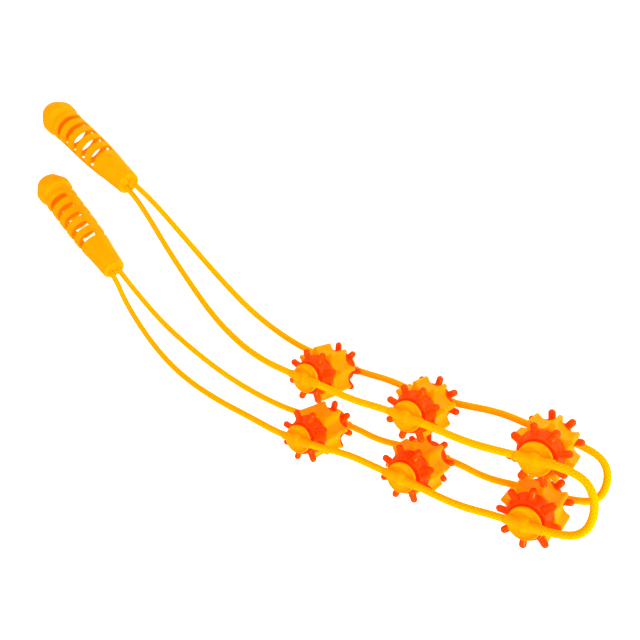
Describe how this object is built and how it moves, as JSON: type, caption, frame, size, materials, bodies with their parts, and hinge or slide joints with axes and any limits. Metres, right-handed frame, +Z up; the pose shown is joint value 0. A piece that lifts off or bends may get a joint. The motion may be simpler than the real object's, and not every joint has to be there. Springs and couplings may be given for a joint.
{
  "type": "spiked roller massage rope",
  "caption": "Pull-along body massager: spiked and scalloped wheels on short axles threaded as rungs between two cords, with a slotted hollow hand grip at each end.",
  "frame": {"origin": "on the floor, under the middle of the box round the rollers and the grips", "axes": "+Z up along every roller's axle, +X along the folded rope from the grips to the loop"},
  "size_m": [0.596, 0.2665, 0.069],
  "materials": {
    "moulded_plastic": "satin moulded orange-yellow",
    "soft_spikes": "translucent orange-red, soft gloss",
    "cord": "smooth braided cord, orange-yellow",
    "axle": "plain pin",
    "inner_plastic": "matte"
  },
  "bodies": {
    "rope": {"roller_1_upper_hub": "moulded_plastic", "roller_1_lower_hub": "moulded_plastic", "roller_1_axle": "axle", "roller_2_upper_hub": "moulded_plastic", "roller_2_lower_hub": "moulded_plastic", "roller_2_axle": "axle", "roller_3_upper_hub": "moulded_plastic", "roller_3_lower_hub": "moulded_plastic", "roller_3_axle": "axle", "roller_4_upper_hub": "moulded_plastic", "roller_4_lower_hub": "moulded_plastic", "roller_4_axle": "axle", "roller_5_upper_hub": "moulded_plastic", "roller_5_lower_hub": "moulded_plastic", "roller_5_axle": "axle", "roller_6_upper_hub": "moulded_plastic", "roller_6_lower_hub": "moulded_plastic", "roller_6_axle": "axle", "first_grip": "moulded_plastic", "first_end_cap": "moulded_plastic", "first_ferrule": "moulded_plastic", "first_cord_anchor": "inner_plastic", "first_upper_cord_knot": "inner_plastic", "first_lower_cord_knot": "inner_plastic", "second_grip": "moulded_plastic", "second_end_cap": "moulded_plastic", "second_ferrule": "moulded_plastic", "second_cord_anchor": "inner_plastic", "second_upper_cord_knot": "inner_plastic", "second_lower_cord_knot": "inner_plastic", "upper_cord": "cord", "lower_cord": "cord"},
    "roller_1_upper_pin_wheel_body": {"roller_1_upper_pin_wheel": "soft_spikes"},
    "roller_1_star_wheel_body": {"roller_1_star_wheel": "moulded_plastic"},
    "roller_1_lower_pin_wheel_body": {"roller_1_lower_pin_wheel": "soft_spikes"},
    "roller_2_upper_pin_wheel_body": {"roller_2_upper_pin_wheel": "soft_spikes"},
    "roller_2_star_wheel_body": {"roller_2_star_wheel": "moulded_plastic"},
    "roller_2_lower_pin_wheel_body": {"roller_2_lower_pin_wheel": "soft_spikes"},
    "roller_3_upper_pin_wheel_body": {"roller_3_upper_pin_wheel": "soft_spikes"},
    "roller_3_star_wheel_body": {"roller_3_star_wheel": "moulded_plastic"},
    "roller_3_lower_pin_wheel_body": {"roller_3_lower_pin_wheel": "soft_spikes"},
    "roller_4_upper_pin_wheel_body": {"roller_4_upper_pin_wheel": "soft_spikes"},
    "roller_4_star_wheel_body": {"roller_4_star_wheel": "moulded_plastic"},
    "roller_4_lower_pin_wheel_body": {"roller_4_lower_pin_wheel": "soft_spikes"},
    "roller_5_upper_pin_wheel_body": {"roller_5_upper_pin_wheel": "soft_spikes"},
    "roller_5_star_wheel_body": {"roller_5_star_wheel": "moulded_plastic"},
    "roller_5_lower_pin_wheel_body": {"roller_5_lower_pin_wheel": "soft_spikes"},
    "roller_6_upper_pin_wheel_body": {"roller_6_upper_pin_wheel": "soft_spikes"},
    "roller_6_star_wheel_body": {"roller_6_star_wheel": "moulded_plastic"},
    "roller_6_lower_pin_wheel_body": {"roller_6_lower_pin_wheel": "soft_spikes"}
  },
  "joints": [
    {"name": "roller_1_upper_pin_wheel_spin", "type": "hinge", "parent": "rope", "child": "roller_1_upper_pin_wheel_body", "pos_m": [0.0925, -0.0618, 0.03447], "axis": [0, 0, 1], "continuous": true},
    {"name": "roller_1_star_wheel_spin", "type": "hinge", "parent": "rope", "child": "roller_1_star_wheel_body", "pos_m": [0.0925, -0.0618, 0.03447], "axis": [0, 0, 1], "continuous": true},
    {"name": "roller_1_lower_pin_wheel_spin", "type": "hinge", "parent": "rope", "child": "roller_1_lower_pin_wheel_body", "pos_m": [0.0925, -0.0618, 0.03447], "axis": [0, 0, 1], "continuous": true},
    {"name": "roller_2_upper_pin_wheel_spin", "type": "hinge", "parent": "rope", "child": "roller_2_upper_pin_wheel_body", "pos_m": [0.1775, -0.0672, 0.03447], "axis": [0, 0, 1], "continuous": true},
    {"name": "roller_2_star_wheel_spin", "type": "hinge", "parent": "rope", "child": "roller_2_star_wheel_body", "pos_m": [0.1775, -0.0672, 0.03447], "axis": [0, 0, 1], "continuous": true},
    {"name": "roller_2_lower_pin_wheel_spin", "type": "hinge", "parent": "rope", "child": "roller_2_lower_pin_wheel_body", "pos_m": [0.1775, -0.0672, 0.03447], "axis": [0, 0, 1], "continuous": true},
    {"name": "roller_3_upper_pin_wheel_spin", "type": "hinge", "parent": "rope", "child": "roller_3_upper_pin_wheel_body", "pos_m": [0.2661, -0.0693, 0.03447], "axis": [0, 0, 1], "continuous": true},
    {"name": "roller_3_star_wheel_spin", "type": "hinge", "parent": "rope", "child": "roller_3_star_wheel_body", "pos_m": [0.2661, -0.0693, 0.03447], "axis": [0, 0, 1], "continuous": true},
    {"name": "roller_3_lower_pin_wheel_spin", "type": "hinge", "parent": "rope", "child": "roller_3_lower_pin_wheel_body", "pos_m": [0.2661, -0.0693, 0.03447], "axis": [0, 0, 1], "continuous": true},
    {"name": "roller_4_upper_pin_wheel_spin", "type": "hinge", "parent": "rope", "child": "roller_4_upper_pin_wheel_body", "pos_m": [0.2673, -0.1129, 0.03447], "axis": [0, 0, 1], "continuous": true},
    {"name": "roller_4_star_wheel_spin", "type": "hinge", "parent": "rope", "child": "roller_4_star_wheel_body", "pos_m": [0.2673, -0.1129, 0.03447], "axis": [0, 0, 1], "continuous": true},
    {"name": "roller_4_lower_pin_wheel_spin", "type": "hinge", "parent": "rope", "child": "roller_4_lower_pin_wheel_body", "pos_m": [0.2673, -0.1129, 0.03447], "axis": [0, 0, 1], "continuous": true},
    {"name": "roller_5_upper_pin_wheel_spin", "type": "hinge", "parent": "rope", "child": "roller_5_upper_pin_wheel_body", "pos_m": [0.1805, -0.1118, 0.03447], "axis": [0, 0, 1], "continuous": true},
    {"name": "roller_5_star_wheel_spin", "type": "hinge", "parent": "rope", "child": "roller_5_star_wheel_body", "pos_m": [0.1805, -0.1118, 0.03447], "axis": [0, 0, 1], "continuous": true},
    {"name": "roller_5_lower_pin_wheel_spin", "type": "hinge", "parent": "rope", "child": "roller_5_lower_pin_wheel_body", "pos_m": [0.1805, -0.1118, 0.03447], "axis": [0, 0, 1], "continuous": true},
    {"name": "roller_6_upper_pin_wheel_spin", "type": "hinge", "parent": "rope", "child": "roller_6_upper_pin_wheel_body", "pos_m": [0.0929, -0.1106, 0.03447], "axis": [0, 0, 1], "continuous": true},
    {"name": "roller_6_star_wheel_spin", "type": "hinge", "parent": "rope", "child": "roller_6_star_wheel_body", "pos_m": [0.0929, -0.1106, 0.03447], "axis": [0, 0, 1], "continuous": true},
    {"name": "roller_6_lower_pin_wheel_spin", "type": "hinge", "parent": "rope", "child": "roller_6_lower_pin_wheel_body", "pos_m": [0.0929, -0.1106, 0.03447], "axis": [0, 0, 1], "continuous": true}
  ]
}
